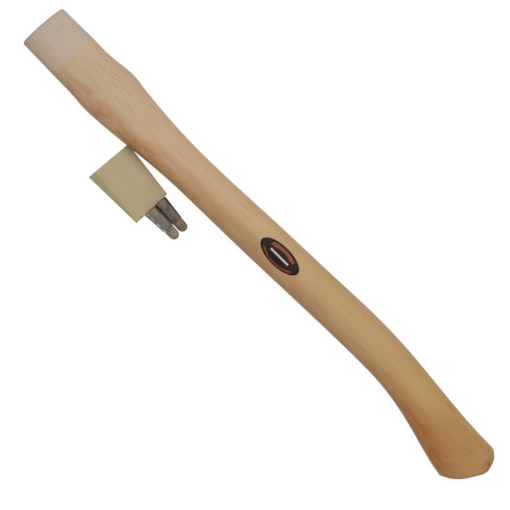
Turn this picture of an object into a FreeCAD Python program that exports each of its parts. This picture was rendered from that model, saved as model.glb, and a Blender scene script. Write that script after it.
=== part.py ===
import FreeCAD, Part
import math
import os
from collections import namedtuple

# A curved replacement handle for a striking tool, laid flat on its cheek, with the wedges that
# fix a head to it lying loose beside it: one of wood for the saw kerf and two of steel.
#
# While it is modelled, +X runs from the eye end to the butt, +Y towards the back edge, +Z up from
# the surface that the kit lies on, and x = 0 is the foremost point of the eye end. The finished
# pieces are then moved together, so that the origin is the middle of the kit's footprint.
# All sizes are millimetres and degrees.

Vector = FreeCAD.Vector
UP = Vector(0, 0, 1)
REACH = 60.0  # how far cutting shapes run past the wood
POINT = 0.01  # anything smaller is a point

# ---------------------------------------------------------------- handle, eye end to butt
handle_length = 457.2

# Runs along X, each from the station before it.
tenon_run = 54.0
shoulder_run = 12.5
shoulder_fall_run = 16.5
neck_entry_run = 27.0
neck_run = 26.0
neck_exit_run = 44.0
throat_run = 34.0
heel_run = 36.0
foot_run = 34.0
butt_run = 25.2
# The three grip sections are evenly spaced over what the other runs leave of the length.
grip_pitch = (handle_length - (tenon_run + shoulder_run + shoulder_fall_run + neck_entry_run + neck_run
                               + neck_exit_run + throat_run + heel_run + foot_run + butt_run)) / 3

# Depth from the back edge to the front edge.
eye_end_depth = 38.2
tenon_root_depth = 39.9
shoulder_depth = 42.5
shoulder_fall_depth = 40.75
neck_entry_depth = 35.3
neck_depth = 31.5
neck_exit_depth = 30.7
fore_grip_depth = 31.8
grip_depth = 31.8
hump_depth = 32.1
throat_depth = 31.6
heel_depth = 35.2
foot_depth = 41.2
butt_depth = 43.0

# Where the middle of the depth lies, + towards the back edge. This is the handle's curve.
eye_end_bow = -0.4
tenon_root_bow = -0.8
shoulder_bow = -0.35
neck_entry_bow = -0.4
neck_bow = 0.2
neck_exit_bow = 1.25
fore_grip_bow = 2.85
grip_bow = 4.5
hump_bow = 5.8
throat_bow = 4.5
heel_bow = -0.8
foot_bow = -6.3
butt_bow = -7.6

# Thickness across the cheeks. The shoulder and the foot keep the whole board.
board_thickness = 25.4
tenon_thickness = 22.2
neck_thickness = 21.6
grip_thickness = 23.4

# How square a section is: 0.71 is an ellipse, 0.85 is nearly a rectangle with soft corners.
tenon_fullness = 0.84
shoulder_fullness = 0.82
neck_fullness = 0.76
grip_fullness = 0.75
foot_fullness = 0.81

shoulder_slant = 8.0     # the shoulder's crest lies further back on the back edge
eye_end_radius = 170.0   # the eye end is bowed and a little out of square
eye_end_low = 12.0       # its foremost point, below the middle
eye_end_round = 1.8      # edge radii
butt_round = 2.6

# The foot's end, from its furthest point towards the back edge and towards the front edge.
tip_height = -0.6
tip_radius = 10.0
tip_back_turn = 17.0
tip_front_turn = 29.5
back_facet_radius = 58.0
back_facet_turn = 6.0
back_corner_radius = 7.0
back_corner_turn = 27.0
front_facet_radius = 160.0
front_facet_turn = 4.0
front_corner_radius = 31.0
front_corner_turn = 27.5

skin_divisions = 6       # of each stretch between two poles of a section
long_band = 30.0

# Saw kerf down the middle of the tenon for the wooden wedge.
kerf_width = 3.2
kerf_length = 44.5

# ---------------------------------------------------------------- oval label on the upper cheek
label_station = 241.0
label_length = 36.2
label_width = 15.6
label_thickness = 0.2
label_glue = 0.05            # the film under it
label_offset = 2.9           # towards the back edge
label_turn = 0.5

# ---------------------------------------------------------------- wooden wedge
wedge_station = 105.7        # its inner butt corner, tucked under the handle's rounded edge
wedge_length = 48.0          # along its outer edge
wedge_tip_width = 30.75
wedge_tip_slant = 2.6
wedge_butt_slant = 6.1
wedge_side_taper = 8.1
wedge_turn = 1.1
wedge_butt_thickness = 7.0
wedge_tip_thickness = 1.6
wedge_clearance = 0.8        # corner to handle

# ---------------------------------------------------------------- stepped steel wedges
steel_length = 28.0
steel_head_width = 10.0
steel_root_width = 8.1       # before the last step
steel_nose_width = 7.3
steel_head_thickness = 4.2
steel_step_pitch = 6.1
steel_step_count = 3
steel_step_height = 0.4      # on each face
steel_draft = 1.4            # how far the bevelled sides lean in, from mid plane to the head's face
steel_head_gap = 0.25        # heads to the wooden wedge's tip
steel_pair_gap = 0.2         # between the two heads
steel_edge_inset = 2.25      # first steel wedge in from the wooden wedge's inner tip corner
steel_turns = (-4.1, 0.3)    # how the two lie, one after the other

Station = namedtuple("Station", "x depth bow thickness fullness slant")


def direction(angle):
    """The unit vector at this angle from +X, in plan."""
    return Vector(math.cos(math.radians(angle)), math.sin(math.radians(angle)), 0)


def polygon_face(points):
    return Part.Face(Part.makePolygon(points + points[:1]))


# ---------------------------------------------------------------- the handle
def place_stations():
    """Every section of the handle from the eye end to the butt."""
    shoulder_fall_thickness = (board_thickness + neck_thickness) / 2
    heel_thickness = (grip_thickness + board_thickness) / 2
    rows = []
    run = 0.0
    for share in (0, 1 / 3, 2 / 3, 1):
        depth = eye_end_depth + share * (tenon_root_depth - eye_end_depth)
        bow = eye_end_bow + share * (tenon_root_bow - eye_end_bow)
        rows.append((run, depth, bow, tenon_thickness, tenon_fullness, 0.0))
        run = tenon_run / 3
    rows += [
        (shoulder_run, shoulder_depth, shoulder_bow, board_thickness, shoulder_fullness, shoulder_slant),
        (shoulder_fall_run, shoulder_fall_depth, shoulder_bow, shoulder_fall_thickness, neck_fullness, 0.0),
        (neck_entry_run, neck_entry_depth, neck_entry_bow, neck_thickness, neck_fullness, 0.0),
        (neck_run, neck_depth, neck_bow, neck_thickness, neck_fullness, 0.0),
        (neck_exit_run, neck_exit_depth, neck_exit_bow, neck_thickness, neck_fullness, 0.0),
        (grip_pitch, fore_grip_depth, fore_grip_bow, grip_thickness, grip_fullness, 0.0),
        (grip_pitch, grip_depth, grip_bow, grip_thickness, grip_fullness, 0.0),
        (grip_pitch, hump_depth, hump_bow, grip_thickness, grip_fullness, 0.0),
        (throat_run, throat_depth, throat_bow, grip_thickness, grip_fullness, 0.0),
        (heel_run, heel_depth, heel_bow, heel_thickness, grip_fullness, 0.0),
        (foot_run, foot_depth, foot_bow, board_thickness, foot_fullness, 0.0),
        (butt_run, butt_depth, butt_bow, board_thickness, foot_fullness, 0.0),
    ]
    stations = []
    x = 0.0
    for run, *sizes in rows:
        x += run
        stations.append(Station(x, *sizes))
    return stations


def extend(station, inner):
    """A station as far beyond this one as the inner one is before it, in line with both."""
    return Station(*[2 * here - there for here, there in zip(station, inner)])


def band_limits(marks):
    """The lengths that the skin is made in: from mark to mark, the long ones halved."""
    limits = []
    for start, end in zip(marks, marks[1:]):
        middle = (start + end) / 2
        limits += [(start, middle), (middle, end)] if end - start > long_band else [(start, end)]
    return limits


def section_poles(station):
    """The eight poles of a closed smooth section, at the middles of its sides and at its corners.

    The curve passes each pole at a sixth of both its neighbours and four sixths of itself, and by
    the sides it's to reach 1, by the corners the station's fullness.
    """
    corner = (6 * station.fullness - 6 / 4) / (4 - 2 / 4)
    side = (6 - 2 * corner) / 4
    ring = [(side, 0), (corner, corner), (0, side), (-corner, corner),
            (-side, 0), (-corner, -corner), (0, -side), (corner, -corner)]
    lean = math.tan(math.radians(station.slant))
    poles = []
    for across, up in ring:
        y = across * station.depth / 2
        z = up * station.thickness / 2
        poles.append(Vector(station.x + y * lean, station.bow + y, board_thickness / 2 + z))
    return poles


def make_shaped_blank(stations):
    """The carved length of wood, running past both ends: one smooth skin through every section."""
    skinned = [extend(stations[0], stations[1])] + stations + [extend(stations[-1], stations[-2])]
    marks = [each.x for each in skinned]
    lines = []
    for points in zip(*[section_poles(each) for each in skinned]):
        line = Part.BSplineCurve()
        line.interpolate(Points=list(points), Parameters=marks)
        lines.append(line)
    around = len(lines)
    skin = Part.BSplineSurface()
    skin.buildFromPolesMultsKnots([line.getPoles() for line in lines],
                                  [1] * (around + 1), lines[0].getMultiplicities(),
                                  list(range(around + 1)), lines[0].getKnots(), True, False, 3, 3)
    for knot in range(around * skin_divisions):
        if knot % skin_divisions:
            skin.insertUKnot(knot / skin_divisions, 1, 1e-6)
    faces = []
    for start, end in band_limits(marks):
        band = skin.copy()
        band.segment(0, around, start, end)
        faces.append(band.toShape())
    for mark in (marks[0], marks[-1]):
        faces.append(Part.Face(Part.Wire(skin.vIso(mark).toShape())))
    shell = Part.Shell(faces)
    shell.sewShape()
    blank = Part.Solid(shell.Shells[0])
    if blank.Volume < 0:
        blank.reverse()
    return blank


def turning_arcs(start, heading, runs):
    """Arcs of (radius, turn) that follow on smoothly from start, and where and how the last ends."""
    edges = []
    for radius, turn in runs:
        to_centre = heading + math.copysign(90, turn)
        centre = start + radius * direction(to_centre)
        middle = centre - radius * direction(to_centre + turn / 2)
        end = centre - radius * direction(to_centre + turn)
        edges.append(Part.Arc(start, middle, end).toShape())
        start = end
        heading += turn
    return edges, start, heading


def make_plan_blank(overall):
    """The board sawn to the handle's two ends, and wider than the handle between them."""
    tip = Vector(overall, tip_height, 0)
    back_edges, back_end, back_heading = turning_arcs(
        tip, 90, [(tip_radius, tip_back_turn), (back_facet_radius, back_facet_turn),
                  (back_corner_radius, back_corner_turn)])
    front_edges, front_end, front_heading = turning_arcs(
        tip, -90, [(tip_radius, -tip_front_turn), (front_facet_radius, -front_facet_turn),
                   (front_corner_radius, -front_corner_turn)])
    back_far = back_end + REACH * direction(back_heading)
    front_far = front_end + REACH * direction(front_heading)
    eye_sweep = math.degrees(REACH / eye_end_radius)
    eye_centre = Vector(eye_end_radius, -eye_end_low, 0)
    eye_back = eye_centre - eye_end_radius * direction(-eye_sweep)
    eye_front = eye_centre - eye_end_radius * direction(eye_sweep)
    eye_tip = eye_centre - eye_end_radius * direction(0)
    edges = front_edges + back_edges
    edges.append(Part.makeLine(front_end, front_far))
    edges.append(Part.makeLine(front_far, eye_front))
    edges.append(Part.Arc(eye_front, eye_tip, eye_back).toShape())
    edges.append(Part.makeLine(eye_back, back_far))
    edges.append(Part.makeLine(back_far, back_end))
    outline = Part.Wire(Part.__sortEdges__(edges))
    outline.translate(-REACH * UP)
    return Part.Face(outline).extrude(2 * REACH * UP)


def end_edges(shape, x_from, x_to):
    """The edges round an end face: those within this stretch that don't stand straight up."""
    found = []
    for edge in shape.Edges:
        box = edge.BoundBox
        upright = box.XLength < POINT and box.YLength < POINT
        if box.XMin > x_from and box.XMax < x_to and not upright:
            found.append(edge)
    return found


def make_handle(blank, overall):
    """The shaped blank with both ends sawn, their edges rounded and the kerf cut."""
    sawn = blank.common(make_plan_blank(overall))
    eye_reach = board_thickness / 2
    butt_reach = butt_run + board_thickness
    rounded = sawn.makeFillet(eye_end_round, end_edges(sawn, -eye_reach, eye_reach))
    rounded = rounded.makeFillet(butt_round, end_edges(rounded, overall - butt_reach, overall + butt_reach))
    kerf = Part.makeBox(kerf_length + REACH, 2 * REACH, kerf_width)
    kerf.translate(Vector(-REACH, -REACH, (board_thickness - kerf_width) / 2))
    return rounded.cut(kerf)


# ---------------------------------------------------------------- the label
def make_label(handle):
    """A thin oval that follows the cheek: a plug of the cheek lifted through its seat."""
    middle = Vector(label_station, label_offset, board_thickness / 2)
    oval = Part.Ellipse(Vector(), label_length / 2, label_width / 2).toShape()
    plug = Part.Face(Part.Wire(oval)).extrude(board_thickness * UP)
    plug.rotate(Vector(), UP, label_turn)
    plug.translate(middle)
    lifted = plug.common(handle)
    lifted.translate((label_glue + label_thickness) * UP)
    seat = handle.copy()
    seat.translate(label_glue * UP)
    return lifted.cut(seat)


# ---------------------------------------------------------------- the wooden wedge
def wedge_plan():
    """Its corners in plan from the outer tip corner: outer tip, outer butt, inner butt, inner tip."""
    outer_tip = Vector()
    outer_butt = Vector(-wedge_length, 0, 0)
    inner_tip = wedge_tip_width * direction(90 - wedge_tip_slant)
    side = direction(180 - wedge_side_taper)
    slant = math.tan(math.radians(wedge_butt_slant))
    along = (wedge_length + inner_tip.x - inner_tip.y * slant) / (side.y * slant - side.x)
    inner_butt = inner_tip + along * side
    return [outer_tip, outer_butt, inner_butt, inner_tip]


def make_wood_wedge(blank, floor):
    """The flat tapered wedge in place beside the handle, and the two ends of its tip edge."""
    corners = wedge_plan()
    outline = polygon_face(corners).extrude(wedge_butt_thickness * UP)
    past = wedge_butt_thickness
    slope = (wedge_butt_thickness - wedge_tip_thickness) / wedge_length
    side_view = polygon_face([
        Vector(-wedge_length - past, -past, -past),
        Vector(past, -past, -past),
        Vector(past, -past, wedge_tip_thickness - slope * past),
        Vector(-wedge_length - past, -past, wedge_butt_thickness + slope * past),
    ])
    taper = side_view.extrude(Vector(0, wedge_length + wedge_tip_width, 0))
    wedge = outline.common(taper)
    wedge.rotate(Vector(), UP, wedge_turn)
    turn = FreeCAD.Rotation(UP, wedge_turn)
    corner = turn.multVec(corners[2])
    height = floor + wedge_tip_thickness - slope * corners[2].x
    probe = blank.common(Part.makeLine(Vector(wedge_station, -REACH, height),
                                       Vector(wedge_station, REACH, height)))
    place = Vector(wedge_station, probe.BoundBox.YMin - wedge_clearance, floor) - corner
    wedge.translate(place)
    return wedge, turn.multVec(corners[3]) + place, turn.multVec(corners[0]) + place


# ---------------------------------------------------------------- the steel wedges
def diamond(x, width):
    """An upright diamond section whose sides have the wedge's draft."""
    height = width * steel_head_thickness / (2 * steel_draft)
    return Part.makePolygon([Vector(x, width / 2, 0), Vector(x, 0, height / 2), Vector(x, -width / 2, 0),
                             Vector(x, 0, -height / 2), Vector(x, width / 2, 0)])


def make_steel_wedge():
    """One wedge from its head at x = 0 to its nose, lying on the crests of its steps."""
    steps_end = steel_step_pitch * steel_step_count
    nose_radius = steel_nose_width / 2
    nose_centre = steel_length - nose_radius
    shank = Part.makeLoft([diamond(0, steel_head_width), diamond(steps_end, steel_root_width)], True, True)
    nose = Part.makeLoft([diamond(steps_end / 2, steel_nose_width),
                          diamond(nose_centre, steel_nose_width)], True, True)
    cone_height = nose_radius * steel_head_thickness / (2 * steel_draft)
    tip_up = Part.makeCone(nose_radius, 0, cone_height, Vector(nose_centre, 0, 0), UP)
    tip_down = Part.makeCone(nose_radius, 0, cone_height, Vector(nose_centre, 0, 0), -UP)
    bevelled = shank.fuse([nose, tip_up, tip_down])

    rise = steel_step_height / steel_step_pitch
    nose_end = steel_head_thickness / 2 - rise * (steel_length - steel_step_pitch)
    upper = []
    half = steel_head_thickness / 2
    for step in range(steel_step_count):
        upper.append(Vector(step * steel_step_pitch, 0, half))
        upper.append(Vector((step + 1) * steel_step_pitch, 0, half))
        half -= steel_step_height
    upper.append(Vector(steps_end, 0, half))
    upper.append(Vector(steel_length, 0, nose_end))
    lower = [Vector(each.x, 0, -each.z) for each in reversed(upper)]
    stepped = polygon_face(upper + lower).extrude(Vector(0, steel_head_width, 0))
    stepped.translate(Vector(0, -steel_head_width / 2, 0))

    wedge = bevelled.common(stepped).removeSplitter()
    wedge.rotate(Vector(), Vector(0, 1, 0), math.degrees(math.atan(rise)))
    wedge.translate(-wedge.optimalBoundingBox(False).ZMin * UP)
    return wedge


def place_steel_wedges(inner_tip, outer_tip):
    """The pair side by side, with their heads at the wooden wedge's tip."""
    along_tip = (outer_tip - inner_tip).normalize()
    off_tip = UP.cross(along_tip)
    tip_heading = math.degrees(math.atan2(off_tip.y, off_tip.x))
    model = make_steel_wedge()
    wedges = []
    reach = steel_edge_inset + steel_head_width / 2
    for turn in steel_turns:
        swing = math.radians(turn - tip_heading)
        setback = steel_head_gap + abs(math.sin(swing)) * steel_head_width / 2
        wedge = model.copy()
        wedge.rotate(Vector(), UP, turn)
        wedge.translate(inner_tip + reach * along_tip + setback * off_tip)
        wedges.append(wedge)
        reach += steel_head_width + steel_pair_gap
    return wedges


# ---------------------------------------------------------------- the kit
def main():
    stations = place_stations()
    overall = stations[-1].x
    blank = make_shaped_blank(stations)
    handle = make_handle(blank, overall)
    floor = handle.optimalBoundingBox(False).ZMin
    wood_wedge, inner_tip, outer_tip = make_wood_wedge(blank, floor)
    pieces = {"handle": handle, "label": make_label(handle), "wood_wedge": wood_wedge}
    for number, wedge in enumerate(place_steel_wedges(inner_tip, outer_tip), start=1):
        pieces["steel_wedge_%d" % number] = wedge

    kit = Part.makeCompound(list(pieces.values())).optimalBoundingBox(False)
    to_origin = Vector(-kit.Center.x, -kit.Center.y, -kit.ZMin)
    os.makedirs("parts", exist_ok=True)
    for name, shape in pieces.items():
        shape.translate(to_origin)
        shape.exportStep("parts/%s.step" % name)
        print(name, len(shape.Solids), "solid", round(shape.Volume, 1), "mm3", shape.isValid())
    print("eye end moved to", [round(each, 4) for each in to_origin])


main()
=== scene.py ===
import math

import bmesh
import bpy
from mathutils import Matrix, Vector


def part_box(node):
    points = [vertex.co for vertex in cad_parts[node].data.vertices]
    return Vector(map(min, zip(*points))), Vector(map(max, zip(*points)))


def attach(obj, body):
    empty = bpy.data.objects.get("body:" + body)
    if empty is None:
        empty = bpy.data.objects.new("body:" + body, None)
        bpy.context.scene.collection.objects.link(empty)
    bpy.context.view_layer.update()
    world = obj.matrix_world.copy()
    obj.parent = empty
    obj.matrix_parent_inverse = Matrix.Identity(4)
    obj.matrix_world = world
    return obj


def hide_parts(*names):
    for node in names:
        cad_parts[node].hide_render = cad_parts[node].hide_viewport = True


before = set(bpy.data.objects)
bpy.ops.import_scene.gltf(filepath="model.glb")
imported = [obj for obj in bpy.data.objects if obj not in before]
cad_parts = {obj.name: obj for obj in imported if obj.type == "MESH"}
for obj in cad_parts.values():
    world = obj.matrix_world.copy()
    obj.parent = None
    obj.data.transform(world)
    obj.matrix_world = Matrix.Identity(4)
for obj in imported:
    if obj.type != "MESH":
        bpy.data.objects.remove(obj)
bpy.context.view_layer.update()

# A curved hickory handle lying on its cheek, with its poplar wedge and two stepped steel wedges.
# Metres, +X from the eye end to the butt, +Y towards the back edge, +Z up from the table.

MM = 0.001

handle_low, handle_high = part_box("handle")
label_low, label_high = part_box("label")
wedge_low, wedge_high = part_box("wood_wedge")
EYE_END = handle_low.x
BUTT_END = handle_high.x


# ------------------------------------------------------------------ colours and nodes
def paint(code):
    """An sRGB hex colour as the linear colour that a socket takes."""
    channels = [int(code[place:place + 2], 16) / 255 for place in (0, 2, 4)]
    linear = [c / 12.92 if c <= 0.04045 else ((c + 0.055) / 1.055) ** 2.4 for c in channels]
    return (*linear, 1.0)


def grey(value):
    return (value, value, value, 1.0)


def add(tree, kind, inputs=None, stops=None, **settings):
    """Adds a node: its own settings, then its inputs as values or links, then a ramp's stops."""
    node = tree.nodes.new("ShaderNode" + kind)
    for name, value in settings.items():
        setattr(node, name, value)
    for name, value in (inputs or {}).items():
        if isinstance(value, bpy.types.Node):
            value = next(each for each in value.outputs if each.enabled)
        if isinstance(value, bpy.types.NodeSocket):
            tree.links.new(value, node.inputs[name])
        else:
            node.inputs[name].default_value = value
    if stops:
        elements = node.color_ramp.elements
        while len(elements) < len(stops):
            elements.new(1.0)
        for element, (place, colour) in zip(elements, stops):
            element.position = place
            element.color = colour
    return node


def new_material(name):
    """An empty node material, its tree and its surface output."""
    material = bpy.data.materials.new(name)
    material.use_nodes = True
    material.node_tree.nodes.clear()
    return material, material.node_tree, add(material.node_tree, "OutputMaterial")


def join_surface(tree, surface, output):
    tree.links.new(surface.outputs[0], output.inputs["Surface"])


def per(size):
    """The scale of a pattern whose features are this many millimetres across."""
    return 1 / (size * MM)


def marked_wood(tree, place, wood, middle, half_size, fade, depth, colour):
    """Wood with an oval mark: strongest up to the fade's first share of its size, gone by the last."""
    off = add(tree, "VectorMath", {0: place, 1: middle}, operation="SUBTRACT")
    off = add(tree, "VectorMath", {0: off, 1: half_size}, operation="DIVIDE")
    off = add(tree, "VectorMath", {0: off}, operation="LENGTH").outputs["Value"]
    mark = add(tree, "MapRange", {0: off, 1: fade[0], 2: fade[1], 3: depth, 4: 0.0})
    return add(tree, "Mix", {0: mark, 6: wood, 7: paint(colour)}, data_type="RGBA")


# ------------------------------------------------------------------ the handle's wood
# Hickory, carved, sanded and lacquered to a satin: growth rings that run nearly straight down the
# cheek and show as pinstripes by the tenon, pale sapwood over most of it, cloudy tawny heartwood
# along the front edge, a few brown mineral streaks, and a greyer dry end where the lacquer stops.
# The rings are really 1 to 2 mm apart and are drawn wider so that they show.
RING_PITCH = 2.5 * MM
RING_DRIFT = 3.5 * MM
RING_KINK = 1.8 * MM
PITH = Vector((0, -60 * MM, 75 * MM))
HANDLE_LENGTH = BUTT_END - EYE_END
TENON_MIDDLE = 16.3 * MM

# Each of the lists below gives a value at shares of the handle's length from the eye end.
DRY_END = 31 * MM / HANDLE_LENGTH
DRY_FADE = 0.004
DRY_RAGGED = 0.008
SAPWOOD = [(0.0, "B2A392"), (DRY_END - DRY_FADE, "B8A594"), (DRY_END + DRY_FADE, "B99F81"),
           (0.17, "B79B7A"), (0.26, "B99C7A"), (0.46, "B6966D"), (0.6, "B18F62"), (0.74, "AE8C5D"),
           (0.85, "AB8751"), (0.9, "A57B41"), (0.95, "A0753C"), (1.0, "A17944")]
HEARTWOOD = [(0.0, "AE9B88"), (DRY_END - DRY_FADE, "B39C88"), (DRY_END + DRY_FADE, "B09274"),
             (0.15, "B08A67"), (0.24, "AF865B"), (0.46, "A98259"), (0.6, "A98158"), (0.74, "AA845B"),
             (0.86, "A06C3C"), (0.92, "9D6735"), (0.96, "A37B4C"), (1.0, "A47E50")]
# where heartwood gives way to sapwood: Y in millimetres, divided by the limit because a ramp holds 0 to 1
SAP_BORDER = [(0.0, 10.0), (0.15, 9.4), (0.2, 8.6), (0.24, 11.0), (0.3, 13.0), (0.45, 15.6),
              (0.6, 17.0), (0.72, 17.6), (0.8, 16.0), (0.88, 11.5), (1.0, 5.2)]
SAP_BORDER_LIMIT = 25.0
SAP_BORDER_WANDER = 13 * MM
# how strongly the rings show
RING_SHOW = [(0.0, 0.25), (DRY_END - DRY_FADE, 0.3), (DRY_END + DRY_FADE, 1.0), (0.15, 0.95),
             (0.19, 0.45), (0.25, 0.2), (0.7, 0.12), (1.0, 0.1)]
# how strongly the heartwood's clouds show
CLOUD_SHOW = [(0.0, 0.15), (DRY_END, 0.3), (0.13, 1.0), (0.26, 1.0), (0.4, 0.5), (0.72, 0.45),
              (0.82, 1.0), (0.93, 1.0), (1.0, 0.5)]
CLOUD_TINT = "EBDACA"
END_GRAIN_SHADE = 0.78

# mineral streaks, scorched specks, tawny stains, an umber painted shade, painted highlights of lifted
# grain, paler sapwood
MINERAL = "684424"
SCORCH = "3E1E06"
TAWNY = "8A5420"
# painted shade, dark brown, for the front edge beside the wood wedge
SHADE_UMBER = "4A2A10"
# painted highlight, pale cream, where lifted grain would catch the light
GLINT_HIGHLIGHT = "E6D2A8"
PALE = "B5A684"
# streaks: from the eye end, from the tenon's middle, half length, half width (mm), depth, colour
CHEEK_STREAKS = [
    (68.6, -10.6, 1.3, 0.9, 0.35, MINERAL), (100, 14.4, 3.6, 0.6, 0.3, MINERAL),
    (198, 10.4, 4.5, 0.5, 0.25, MINERAL), (286, 3.4, 4.0, 0.5, 0.25, MINERAL),
    (314.5, 14.9, 2.2, 0.6, 0.35, MINERAL), (407, 12.6, 6.0, 0.6, 0.4, MINERAL),
    (418, -3, 30, 10, 0.14, MINERAL), (429, -14.7, 1.4, 0.7, 0.35, MINERAL),
    (439, 0.2, 3.0, 1.2, 0.2, MINERAL), (453.8, 3.0, 4.0, 6.0, 0.65, TAWNY),
    # the tawny streak at 117 mm on the front edge is partly an orange stain and partly painted shade
    # beside the wood wedge
    (453.6, 3.2, 3.0, 1.2, 0.25, SCORCH), (117, -16.2, 11, 1.8, 0.6, TAWNY),
    # the pale glints in these rows are painted highlights along lifted grain
    (432, 15.5, 24, 5, 0.5, PALE), (97, 16.1, 7.0, 0.5, 0.3, GLINT_HIGHLIGHT),
    (407, 10.7, 6.0, 0.5, 0.15, GLINT_HIGHLIGHT), (56, 10.4, 14.0, 0.4, 0.2, GLINT_HIGHLIGHT),
    (60, 5.8, 9.0, 0.4, 0.2, GLINT_HIGHLIGHT), (74, 4.6, 6.0, 0.4, 0.15, GLINT_HIGHLIGHT),
    (56, 2.9, 9.0, 0.4, 0.2, GLINT_HIGHLIGHT), (62, -0.5, 8.0, 0.4, 0.2, GLINT_HIGHLIGHT),
    (76, -2.6, 7.0, 0.4, 0.2, GLINT_HIGHLIGHT)]
CHEEK_STREAK_HALF_HEIGHT = 14
# painted shade: a darker streak halfway down the front edge, where it curves into the neck beside the wood
# wedge
EDGE_SHADE_STREAKS = [(112, -17.4, 11.0, 1.5, 0.5, SHADE_UMBER), (122, -15.9, 9.0, 1.3, 0.35, SHADE_UMBER)]
EDGE_SHADE_LEVEL = 16 * MM
EDGE_SHADE_HALF_HEIGHT = 5
STREAK_FADE = (0.2, 1.3)


def hickory():
    material, tree, output = new_material("hickory, lacquered")
    place = add(tree, "TexCoord").outputs["Object"]
    spot = add(tree, "SeparateXYZ", {0: place})
    drawn_out = add(tree, "Mapping", {"Vector": place, "Scale": (0.12, 1, 1)})
    share = add(tree, "MapRange", {0: spot.outputs["X"], 1: EYE_END, 2: BUTT_END})

    # where along the handle, with a ragged edge to the dry end, nearer the end in the middle
    ragged = add(tree, "TexNoise", {"Vector": place, "Scale": per(4), "Detail": 3})
    share = add(tree, "Math", {0: ragged, 1: DRY_RAGGED, 2: share}, operation="MULTIPLY_ADD")
    from_middle = add(tree, "Math", {0: spot.outputs["Y"], 1: TENON_MIDDLE}, operation="SUBTRACT")
    from_middle = add(tree, "Math", {0: from_middle}, operation="ABSOLUTE")
    step = add(tree, "MapRange", {0: from_middle, 1: 5 * MM, 2: 6 * MM, 3: 0.0015, 4: 0.0065})
    share = add(tree, "Math", {0: share, 1: step}, operation="SUBTRACT")
    sapwood = add(tree, "ValToRGB", {0: share}, [(at, paint(code)) for at, code in SAPWOOD])
    heartwood = add(tree, "ValToRGB", {0: share}, [(at, paint(code)) for at, code in HEARTWOOD])

    # heartwood along the front edge, its border drawn out along the grain
    border = add(tree, "ValToRGB", {0: share}, [(at, grey(y / SAP_BORDER_LIMIT)) for at, y in SAP_BORDER])
    border = add(tree, "Math", {0: border, 1: SAP_BORDER_LIMIT * MM}, operation="MULTIPLY")
    behind = add(tree, "Math", {0: spot.outputs["Y"], 1: border}, operation="SUBTRACT")
    wander = add(tree, "TexNoise", {"Vector": drawn_out, "Scale": per(7), "Detail": 4, "Distortion": 0.5})
    wander = add(tree, "Math", {0: wander, 1: 0.5}, operation="SUBTRACT")
    behind = add(tree, "Math", {0: wander, 1: SAP_BORDER_WANDER, 2: behind}, operation="MULTIPLY_ADD")
    sap_share = add(tree, "MapRange", {0: behind, 1: -7 * MM, 2: 4 * MM}, interpolation_type="SMOOTHSTEP")
    wood = add(tree, "Mix", {0: sap_share, 6: heartwood, 7: sapwood}, data_type="RGBA")

    # clouds in the heartwood, orange-brown
    puffs = add(tree, "Mapping", {"Vector": place, "Scale": (0.45, 1, 1)})
    cloud = add(tree, "TexNoise", {"Vector": puffs, "Scale": per(8), "Detail": 4, "Distortion": 0.8})
    cloud = add(tree, "MapRange", {0: cloud, 1: 0.36, 2: 0.68}, interpolation_type="SMOOTHSTEP")
    cloud_show = add(tree, "ValToRGB", {0: share}, [(at, grey(show)) for at, show in CLOUD_SHOW])
    cloud_show = add(tree, "Math", {0: cloud, 1: cloud_show}, operation="MULTIPLY")
    heart_share = add(tree, "Math", {0: 1.0, 1: sap_share}, operation="SUBTRACT")
    cloud_show = add(tree, "Math", {0: cloud_show, 1: heart_share}, operation="MULTIPLY")
    clouded = add(tree, "Mix", {0: cloud_show, 6: wood, 7: paint(CLOUD_TINT)}, data_type="RGBA",
                  blend_type="MULTIPLY")

    # growth rings round a pith well outside the handle, drifting and kinked
    drift = add(tree, "TexNoise", {"Vector": drawn_out, "Scale": per(9), "Detail": 4, "Roughness": 0.65})
    section = add(tree, "Mapping", {"Vector": place, "Location": -PITH, "Scale": (0, 1, 1)})
    radius = add(tree, "VectorMath", {0: section}, operation="LENGTH").outputs["Value"]
    radius = add(tree, "Math", {0: drift, 1: RING_DRIFT, 2: radius}, operation="MULTIPLY_ADD")
    kinks = add(tree, "Mapping", {"Vector": place, "Scale": (0.8, 1, 1)})
    kinks = add(tree, "TexNoise", {"Vector": kinks, "Scale": per(8), "Detail": 2})
    radius = add(tree, "Math", {0: kinks, 1: RING_KINK, 2: radius}, operation="MULTIPLY_ADD")
    ring = add(tree, "Math", {0: radius, 1: RING_PITCH}, operation="DIVIDE")
    ring = add(tree, "Math", {0: ring}, operation="FRACT")
    ring = add(tree, "ValToRGB", {0: ring}, [(0.0, grey(0.85)), (0.12, grey(1.0)), (0.3, grey(0.7)),
                                             (0.55, grey(0.5)), (0.74, grey(0.05)), (0.88, grey(0.5)),
                                             (1.0, grey(0.85))])
    ring_show = add(tree, "ValToRGB", {0: share}, [(at, grey(show)) for at, show in RING_SHOW])
    ring_part = add(tree, "MapRange", {0: sap_share, 3: 0.35, 4: 1.0})
    ring_show = add(tree, "Math", {0: ring_show, 1: ring_part}, operation="MULTIPLY")
    patchy = add(tree, "TexNoise", {"Vector": drawn_out, "Scale": per(3), "Detail": 2})
    patchy = add(tree, "MapRange", {0: patchy, 1: 0.35, 2: 0.6, 3: 0.25, 4: 1.15})
    ring_show = add(tree, "Math", {0: ring_show, 1: patchy}, operation="MULTIPLY")

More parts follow.
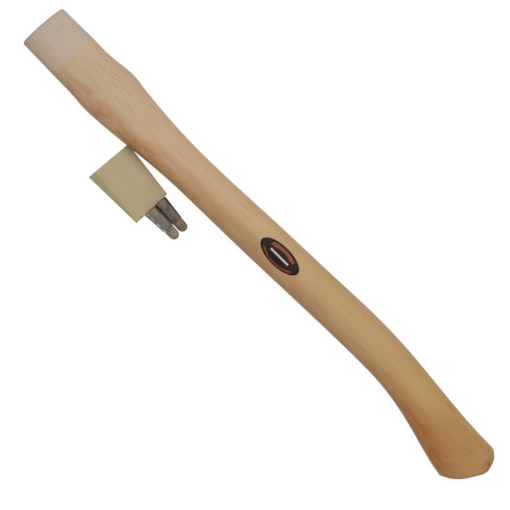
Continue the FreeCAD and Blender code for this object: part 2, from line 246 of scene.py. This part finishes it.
    # sawn end grain shows its rings as arcs
    facing = add(tree, "SeparateXYZ", {0: add(tree, "NewGeometry").outputs["Normal"]})
    facing = add(tree, "Math", {0: facing.outputs["X"]}, operation="ABSOLUTE")
    end_grain = add(tree, "MapRange", {0: facing, 1: 0.75, 2: 0.95})
    ring_show = add(tree, "MapRange", {0: end_grain, 3: ring_show, 4: 1.4})
    swing = add(tree, "Math", {0: ring, 1: 0.19, 2: -0.11}, operation="MULTIPLY_ADD")
    ring_tint = add(tree, "Math", {0: swing, 1: ring_show, 2: 1.0}, operation="MULTIPLY_ADD")
    ringed = add(tree, "Mix", {0: 1.0, 6: clouded, 7: ring_tint}, data_type="RGBA", blend_type="MULTIPLY")

    # pores: short darker dashes along the grain, drawn at twice their width so that they show
    along = add(tree, "Mapping", {"Vector": place, "Scale": (0.06, 1, 1)})
    pores = add(tree, "TexNoise", {"Vector": along, "Scale": per(1.0), "Detail": 2})
    pores = add(tree, "MapRange", {0: pores, 1: 0.35, 2: 0.62, 3: 0.95, 4: 1.02})
    flecked = add(tree, "Mix", {0: 1.0, 6: ringed, 7: pores}, data_type="RGBA", blend_type="MULTIPLY")

    # broad figure
    figure = add(tree, "TexNoise", {"Vector": drawn_out, "Scale": per(6), "Detail": 3, "Distortion": 0.4})
    figure = add(tree, "MapRange", {0: figure, 1: 0.3, 2: 0.7, 3: 0.96, 4: 1.03})
    marked = add(tree, "Mix", {0: 1.0, 6: flecked, 7: figure}, data_type="RGBA", blend_type="MULTIPLY")

    for streaks, level, half_height in (
            (CHEEK_STREAKS, handle_high.z, CHEEK_STREAK_HALF_HEIGHT),
            (EDGE_SHADE_STREAKS, EDGE_SHADE_LEVEL, EDGE_SHADE_HALF_HEIGHT)):
        for along_handle, across, half_length, half_width, depth, stain in streaks:
            middle = Vector((EYE_END + along_handle * MM, TENON_MIDDLE + across * MM, level))
            half_size = Vector((half_length, half_width, half_height)) * MM
            marked = marked_wood(tree, place, marked, middle, half_size, STREAK_FADE, depth, stain)

    # end grain is darker, the dry end is rougher than the lacquer, and so are the pores
    shaded = add(tree, "Mix", {0: 1.0, 6: marked, 7: grey(END_GRAIN_SHADE)}, data_type="RGBA",
                 blend_type="MULTIPLY")
    colour = add(tree, "Mix", {0: end_grain, 6: marked, 7: shaded}, data_type="RGBA")
    finish = add(tree, "MapRange", {0: share, 1: DRY_END - 0.002, 2: DRY_END + 0.002, 3: 0.75, 4: 0.55})
    rough = add(tree, "Math", {0: pores, 1: -0.3, 2: 0.3}, operation="MULTIPLY_ADD")
    rough = add(tree, "Math", {0: rough, 1: finish}, operation="ADD")
    relief = add(tree, "Math", {0: ring, 1: 0.3, 2: pores}, operation="MULTIPLY_ADD")
    bump = add(tree, "Bump", {"Strength": 0.2, "Distance": 0.06 * MM, "Height": relief})
    surface = add(tree, "BsdfPrincipled", {
        "Base Color": colour, "Roughness": rough, "Normal": bump, "IOR": 1.5,
        "Specular IOR Level": 0.3})
    join_surface(tree, surface, output)
    return material


# ------------------------------------------------------------------ the wedge's wood
# Poplar, sawn and left bare: pale olive and very plain, its grain a little off the wedge's own
# line, with a greener band along the outer edge, and small dark spots of painted shade where chips would
# be out of the thin end.
GRAIN_TURN = math.radians(-4.9)
OLIVE = [(0.3, "A89A76"), (0.5, "AB9C7A"), (0.7, "AE9F80")]
GREEN_BAND = "9A8E66"
# painted shade for chips; the thin end itself is not notched
CHIP_PAINTED_SHADE = "5E553A"
# painted shade of chips: from the tip's inner corner, half width (mm), depth; the corner lies in from the
# wedge's box
CHIP_SHADOWS = [(8.9, 0.8, 0.6), (18.5, 0.7, 0.3), (24.8, 0.8, 0.7)]
CHIP_SHADOW_HALF_LENGTH = 1.3
CHIP_SHADOW_HALF_HEIGHT = 4
CHIP_SHADOW_FADE = (0.4, 1.2)
TIP_CORNER = 5.6


def poplar():
    material, tree, output = new_material("poplar, sawn")
    place = add(tree, "TexCoord").outputs["Object"]
    corner = Vector((wedge_high.x, wedge_low.y, 0))
    level = add(tree, "Mapping", {"Vector": place, "Location": corner, "Rotation": (0, 0, GRAIN_TURN)},
                vector_type="TEXTURE")
    drawn_out = add(tree, "Mapping", {"Vector": level, "Scale": (0.3, 1, 1)})
    cloud = add(tree, "TexNoise", {"Vector": drawn_out, "Scale": per(9), "Detail": 3})
    base = add(tree, "ValToRGB", {0: cloud}, [(at, paint(code)) for at, code in OLIVE])
    wander = add(tree, "TexNoise", {"Vector": drawn_out, "Scale": per(6), "Detail": 3})
    across = add(tree, "SeparateXYZ", {0: level})
    above = add(tree, "Math", {0: wander, 1: 2 * MM, 2: across.outputs["Y"]}, operation="MULTIPLY_ADD")
    band = add(tree, "MapRange", {0: above, 1: 1.7 * MM, 2: 3.4 * MM}, interpolation_type="SMOOTHSTEP")
    wood = add(tree, "Mix", {0: band, 6: paint(GREEN_BAND), 7: base}, data_type="RGBA")

    # grain, drawn coarser than its fibres so that it shows
    fine = add(tree, "Mapping", {"Vector": level, "Scale": (0.08, 1, 1)})
    grain = add(tree, "TexNoise", {"Vector": fine, "Scale": per(1.2), "Detail": 2})
    tint = add(tree, "MapRange", {0: grain, 1: 0.3, 2: 0.7, 3: 0.98, 4: 1.02})
    marked = add(tree, "Mix", {0: 1.0, 6: wood, 7: tint}, data_type="RGBA", blend_type="MULTIPLY")

    # painted shade in place of each chip
    for from_corner, half_width, depth in CHIP_SHADOWS:
        across_tip = wedge_high.y - (TIP_CORNER + from_corner) * MM
        middle = Vector((wedge_high.x - CHIP_SHADOW_HALF_LENGTH * MM, across_tip, 0))
        half_size = Vector((CHIP_SHADOW_HALF_LENGTH, half_width, CHIP_SHADOW_HALF_HEIGHT)) * MM
        marked = marked_wood(tree, place, marked, middle, half_size, CHIP_SHADOW_FADE, depth, CHIP_PAINTED_SHADE)

    # the sawn ends are darker
    normal = add(tree, "SeparateXYZ", {0: add(tree, "NewGeometry").outputs["Normal"]})
    facing = add(tree, "Math", {0: normal.outputs["X"]}, operation="ABSOLUTE")
    end_grain = add(tree, "MapRange", {0: facing, 1: 0.85, 2: 0.98, 3: 1.0, 4: 0.72})
    colour = add(tree, "Mix", {0: 1.0, 6: marked, 7: end_grain}, data_type="RGBA", blend_type="MULTIPLY")
    bump = add(tree, "Bump", {"Strength": 0.3, "Distance": 0.06 * MM, "Height": grain})
    surface = add(tree, "BsdfPrincipled", {
        "Base Color": colour, "Roughness": 0.72, "Normal": bump, "IOR": 1.45,
        "Specular IOR Level": 0.3})
    join_surface(tree, surface, output)
    return material


# ------------------------------------------------------------------ the steel wedges' metal
# Cast iron under its scale, tumbled: brown and dull, with painted light and shade on its bevelled sides,
# painted shade in the corners of its steps, ochre where rust has started, and a painted highlight on
# the front crest near the proud corners of the steps.
STEP_PITCH = 6.1 * MM
LAST_STEP = 3 * STEP_PITCH
OCHRE = "80653F"
# painted shade in the corners of the steps
STEP_CORNER_SHADE = "2B221B"
# painted highlight on the front crest
CREST_HIGHLIGHT = "C9C8C4"


def scaled_iron(name, head, dull, bright, back_side_shading, front_side_shading, rust, crest_highlight):
    """head is the X of the wedge's thick end; rust says how much rust it shows, and the last argument how
    much painted highlight on the front crest.
    """
    material, tree, output = new_material(name)
    place = add(tree, "TexCoord").outputs["Object"]
    along = add(tree, "SeparateXYZ", {0: place})
    along = add(tree, "Math", {0: along.outputs["X"], 1: head}, operation="SUBTRACT")
    mottle = add(tree, "TexNoise", {"Vector": place, "Scale": per(5), "Detail": 3})
    mottle = add(tree, "MapRange", {0: mottle, 1: 0.35, 2: 0.65})
    scale = add(tree, "Mix", {0: mottle, 6: paint(dull), 7: paint(bright)}, data_type="RGBA")

    # rust in spots, more of it on the nose
    spots = add(tree, "TexNoise", {"Vector": place, "Scale": per(6), "Detail": 2, "Distortion": 0.5})
    nose = add(tree, "MapRange", {0: along, 1: LAST_STEP, 2: LAST_STEP + 3 * MM, 3: 0.0, 4: 0.25})
    spots = add(tree, "Math", {0: spots, 1: nose}, operation="ADD")
    spots = add(tree, "MapRange", {0: spots, 1: 0.52, 2: 0.75, 3: 0.0, 4: rust})
    scale = add(tree, "Mix", {0: spots, 6: scale, 7: paint(OCHRE)}, data_type="RGBA")

    # the two bevelled sides, then painted shade in the steps' corners, deepest in the last step's corner
    facing = add(tree, "SeparateXYZ", {0: add(tree, "NewGeometry").outputs["Normal"]}).outputs["Y"]
    # painted light and shade: each bevelled side gets its own colour for how the light falls on it
    back = add(tree, "MapRange", {0: facing, 1: 0.1, 2: 0.6, 3: 0.0, 4: 0.9})
    scale = add(tree, "Mix", {0: back, 6: scale, 7: paint(back_side_shading)}, data_type="RGBA")
    front = add(tree, "MapRange", {0: facing, 1: -0.5, 2: -0.75, 3: 0.0, 4: 0.9})
    scale = add(tree, "Mix", {0: front, 6: scale, 7: paint(front_side_shading)}, data_type="RGBA")
    corner = add(tree, "AmbientOcclusion", {"Distance": 1.2 * MM}, samples=6, only_local=True)
    shade_depth = add(tree, "MapRange", {0: along, 1: LAST_STEP - 5 * MM, 2: LAST_STEP, 3: 0.25, 4: 0.9})
    step_shade = add(tree, "MapRange", {0: corner.outputs["AO"], 1: 0.75, 2: 1.0, 3: shade_depth, 4: 0.0})
    scale = add(tree, "Mix", {0: step_shade, 6: scale, 7: paint(STEP_CORNER_SHADE)}, data_type="RGBA")

    # painted highlight within 2 mm of each step, along the front crest only
    from_step = add(tree, "Math", {0: along, 1: STEP_PITCH / 2}, operation="PINGPONG")
    highlight_share = add(tree, "MapRange", {0: from_step, 1: 1.2 * MM, 2: 2.2 * MM, 3: crest_highlight, 4: 0.15 * crest_highlight})
    highlight_share = add(tree, "MapRange", {0: along, 1: LAST_STEP + 1 * MM, 2: LAST_STEP + 2 * MM, 3: highlight_share, 4: 0.0})
    edge = add(tree, "MapRange", {0: facing, 1: -0.1, 2: -0.2, 3: 0.0, 4: highlight_share})
    edge = add(tree, "MapRange", {0: facing, 1: -0.6, 2: -0.45, 3: 0.0, 4: edge})
    colour = add(tree, "Mix", {0: edge, 6: scale, 7: paint(CREST_HIGHLIGHT)}, data_type="RGBA")

    # the scale's grit, drawn coarse enough to show
    grit = add(tree, "TexNoise", {"Vector": place, "Scale": per(0.6), "Detail": 2})
    rough = add(tree, "MapRange", {0: grit, 1: 0.3, 2: 0.7, 3: 0.42, 4: 0.55})
    rough = add(tree, "Math", {0: edge, 1: -0.18, 2: rough}, operation="MULTIPLY_ADD")
    bump = add(tree, "Bump", {"Strength": 0.35, "Distance": 0.05 * MM, "Height": grit})
    surface = add(tree, "BsdfPrincipled", {
        "Base Color": colour, "Roughness": rough, "Metallic": 0.6, "Normal": bump})
    join_surface(tree, surface, output)
    return material


# ------------------------------------------------------------------ the label's print
# Vinyl, printed matt: near black, with plain orange arcs and a cream bar.
GROUND = [(0.3, "170F0D"), (0.7, "221713")]
ORANGE = "8A4231"
DARK_ORANGE = "74392A"
CREAM = "B9B0A8"
INK_EDGE = 0.02


def printed_vinyl():
    """The label's half length and half width are each 1 in its print's measures."""
    material, tree, output = new_material("vinyl, printed")
    middle = (label_low + label_high) / 2
    half = (label_high - label_low) / 2
    place = add(tree, "TexCoord").outputs["Object"]
    from_middle = add(tree, "VectorMath", {0: place, 1: middle}, operation="SUBTRACT")
    scaled = add(tree, "VectorMath", {0: from_middle, 1: (half.x, half.y, 1)}, operation="DIVIDE")
    flat = add(tree, "VectorMath", {0: scaled, 1: (1, 1, 0)}, operation="MULTIPLY")
    spot = add(tree, "SeparateXYZ", {0: flat})
    reach = add(tree, "VectorMath", {0: flat}, operation="LENGTH").outputs["Value"]
    side = add(tree, "Math", {0: spot.outputs["X"]}, operation="ABSOLUTE")
    ground = add(tree, "TexNoise", {"Vector": place, "Scale": per(4), "Detail": 2})
    colour = add(tree, "ValToRGB", {0: ground}, [(at, paint(code)) for at, code in GROUND])
    # each shape of ink lies within limits of reach from the middle, of side and of height
    for ink, limits in (
            (ORANGE, ((reach, 0.5, 0.8), (side, -1.0, 0.6), (spot.outputs["Y"], 0.3, 1.0))),
            (DARK_ORANGE, ((reach, 0.74, 0.88), (side, -1.0, 0.8), (spot.outputs["Y"], -1.0, -0.3))),
            (CREAM, ((reach, -1.0, 0.6), (side, -1.0, 0.48), (spot.outputs["Y"], -0.14, 0.04)))):
        inside = 1.0
        for value, low, high in limits:
            rise = add(tree, "MapRange", {0: value, 1: low - INK_EDGE, 2: low + INK_EDGE, 4: inside})
            inside = add(tree, "MapRange", {
                0: value, 1: high - INK_EDGE, 2: high + INK_EDGE, 3: rise, 4: 0.0})
        colour = add(tree, "Mix", {0: inside, 6: colour, 7: paint(ink)}, data_type="RGBA")
    surface = add(tree, "BsdfPrincipled", {
        "Base Color": colour, "Roughness": 0.4, "IOR": 1.5, "Specular IOR Level": 0.08})
    join_surface(tree, surface, output)
    return material


# ------------------------------------------------------------------ pieces
WOOD_EDGE = 0.3 * MM
IRON_CREST = 0.5 * MM
IRON_EDGE = 0.12 * MM
LOOSE = 0.01 * MM
COPLANAR = math.radians(1)
SMOOTH_BELOW = math.radians(30)
# the upright part of a normal: above this on a level face, between these on a bevelled side
LEVEL_FACE = 0.9
LEANING_FACE = (0.3, 0.8)
# the two steel wedges' finishes, for scaled_iron
# the bevelled sides' colours are painted shade on wedge 1 and painted light on wedge 2; only wedge 2 gets
# the painted crest highlight
IRON_FINISHES = {
    "steel_wedge_1": {"dull": "4A3D34", "bright": "5F5249", "back_side_shading": "33261F",
                      "front_side_shading": "2C211B", "rust": 0.38, "crest_highlight": 0.0},
    "steel_wedge_2": {"dull": "5A5249", "bright": "675F56", "back_side_shading": "877E75",
                      "front_side_shading": "5A6064", "rust": 0.12, "crest_highlight": 1.0}}


def select_only(piece):
    bpy.ops.object.select_all(action="DESELECT")
    piece.select_set(True)
    bpy.context.view_layer.objects.active = piece


def merged_copy(node, name):
    """A copy of a CAD node with its loose triangles joined, to finish in its place."""
    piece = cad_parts[node].copy()
    piece.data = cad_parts[node].data.copy()
    piece.name = name
    piece.parent = None
    bpy.context.scene.collection.objects.link(piece)
    select_only(piece)
    bpy.ops.mesh.customdata_custom_splitnormals_clear()
    bpy.ops.object.mode_set(mode="EDIT")
    bpy.ops.mesh.select_all(action="SELECT")
    bpy.ops.mesh.remove_doubles(threshold=LOOSE)
    bpy.ops.object.mode_set(mode="OBJECT")
    return piece


def soften_edges(piece, width, angle):
    """Rounds every edge sharper than this angle in degrees."""
    select_only(piece)
    bpy.ops.object.mode_set(mode="EDIT")
    bpy.ops.mesh.select_all(action="SELECT")
    bpy.ops.mesh.dissolve_limited(angle_limit=COPLANAR)
    bpy.ops.object.mode_set(mode="OBJECT")
    bevel = piece.modifiers.new("soft edges", "BEVEL")
    bevel.width = width
    bevel.segments = 2
    bevel.limit_method = "ANGLE"
    bevel.angle_limit = math.radians(angle)
    bpy.ops.object.modifier_apply(modifier=bevel.name)


def round_crests(piece, width):
    """Rounds the long edges where a wedge's top and bottom faces meet its bevelled sides."""
    select_only(piece)
    bpy.ops.object.mode_set(mode="EDIT")
    bpy.ops.mesh.select_mode(type="EDGE")
    bpy.ops.mesh.select_all(action="SELECT")
    bpy.ops.mesh.dissolve_limited(angle_limit=COPLANAR)
    bpy.ops.mesh.select_all(action="DESELECT")
    mesh = bmesh.from_edit_mesh(piece.data)
    for edge in mesh.edges:
        upright = [abs(face.normal.z) for face in edge.link_faces]
        level = any(part > LEVEL_FACE for part in upright)
        leaning = any(LEANING_FACE[0] < part < LEANING_FACE[1] for part in upright)
        edge.select = level and leaning
    bmesh.update_edit_mesh(piece.data)
    bpy.ops.mesh.bevel(offset=width, segments=3, affect="EDGES")
    bpy.ops.object.mode_set(mode="OBJECT")


def finish_piece(piece, node, material):
    """Smooths and paints a piece, which rides and replaces its CAD node."""
    select_only(piece)
    bpy.ops.object.shade_smooth_by_angle(angle=SMOOTH_BELOW)
    piece.data.materials.clear()
    piece.data.materials.append(material)
    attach(piece, node)
    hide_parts(node)


handle = merged_copy("handle", "handle_wood")
finish_piece(handle, "handle", hickory())

wood_wedge = merged_copy("wood_wedge", "wedge_wood")
soften_edges(wood_wedge, WOOD_EDGE, 30)
finish_piece(wood_wedge, "wood_wedge", poplar())

for node, finish in IRON_FINISHES.items():
    steel_wedge = merged_copy(node, node + "_iron")
    round_crests(steel_wedge, IRON_CREST)
    soften_edges(steel_wedge, IRON_EDGE, 25)
    iron = scaled_iron("cast iron, scaled, " + node[-1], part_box(node)[0].x, **finish)
    finish_piece(steel_wedge, node, iron)

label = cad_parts["label"]
for slot in label.material_slots:
    slot.material = printed_vinyl()


# ------------------------------------------------------------------ floor, lights and camera
# A white table in a white room, with a large soft lamp high behind the back edge and a small one
# low in front. The table's glow is a little over white, and in narrow gaps between pieces it is painted a
# dark brown shade.
FLOOR_SIZE = 8
FLOOR_DROP = 0.02 * MM
TABLE_GLOW = 1.08
TABLE_GLOW_SHARE = 0.85
GAP_PAINTED_SHADE = "5A463A"
ROOM_LIGHT = 0.45
# the camera's lens and sensor in millimetres, and what it frames at the handle's level
LENS = 600
SENSOR_WIDTH = 36
VIEW_WIDTH = 369.4 * MM
VIEW_MIDDLE = (-1.05 * MM, 7.23 * MM)
VIEW_TURN = math.radians(45)


def sees_white(tree):
    """1 for a ray that looks at the room, straight, in a gloss or through glass; 0 for its light."""
    path = add(tree, "LightPath")
    seen = add(tree, "Math", {0: path.outputs["Is Camera Ray"], 1: path.outputs["Is Glossy Ray"]},
               operation="MAXIMUM")
    return add(tree, "Math", {0: seen, 1: path.outputs["Is Transmission Ray"]}, operation="MAXIMUM")


def make_floor():
    bpy.ops.object.select_all(action="DESELECT")
    bpy.ops.mesh.primitive_plane_add(size=FLOOR_SIZE, location=(0, 0, -FLOOR_DROP))
    floor = bpy.context.object
    floor.name = "floor"
    material, tree, output = new_material("white table")
    seen = add(tree, "Math", {0: sees_white(tree), 1: TABLE_GLOW_SHARE}, operation="MULTIPLY")
    table = add(tree, "BsdfDiffuse", {"Color": grey(0.8)})
    # painted shade: where a narrow gap between two pieces would let little light down, the table's glow
    # turns dark brown
    closed_in = add(tree, "AmbientOcclusion", {"Distance": 5 * MM}, samples=16)
    open_share = add(tree, "MapRange", {0: closed_in.outputs["AO"], 1: 0.36, 2: 0.48})
    light = add(tree, "Mix", {0: open_share, 6: paint(GAP_PAINTED_SHADE), 7: grey(TABLE_GLOW)}, data_type="RGBA")
    glow = add(tree, "Emission", {"Color": light, "Strength": 1.0})
    mixed = add(tree, "MixShader", {0: seen, 1: table, 2: glow})
    join_surface(tree, mixed, output)
    floor.data.materials.append(material)


def light_world():
    world = bpy.data.worlds.new("white room")
    bpy.context.scene.world = world
    world.use_nodes = True
    tree = world.node_tree
    tree.nodes.clear()
    strength = add(tree, "MapRange", {0: sees_white(tree), 3: ROOM_LIGHT, 4: 1.0})
    background = add(tree, "Background", {"Color": grey(1.0), "Strength": strength})
    join_surface(tree, background, add(tree, "OutputWorld"))


def add_softbox(name, place, size, energy):
    lamp = bpy.data.lights.new(name, "AREA")
    lamp.size = size
    lamp.energy = energy
    softbox = bpy.data.objects.new(name, lamp)
    softbox.location = place
    softbox.rotation_euler = (-Vector(place)).to_track_quat("-Z", "Y").to_euler()
    bpy.context.scene.collection.objects.link(softbox)


def add_camera():
    """Straight above, turned so that the handle runs down across the frame from the left."""
    camera = bpy.data.cameras.new("camera")
    camera.lens = LENS
    camera.sensor_width = SENSOR_WIDTH
    level = (handle_low.z + handle_high.z) / 2
    distance = VIEW_WIDTH * LENS / SENSOR_WIDTH
    eye = bpy.data.objects.new("camera", camera)
    eye.location = (*VIEW_MIDDLE, level + distance)
    eye.rotation_euler = (0, 0, VIEW_TURN)
    bpy.context.scene.collection.objects.link(eye)
    bpy.context.scene.camera = eye


make_floor()
light_world()
add_softbox("key light", place=(0.1, 0.7, 2.0), size=1.5, energy=28.5)
add_softbox("edge light", place=(-0.2, -1.2, 1.1), size=0.3, energy=2)
add_camera()
bpy.context.scene.view_settings.view_transform = "Standard"
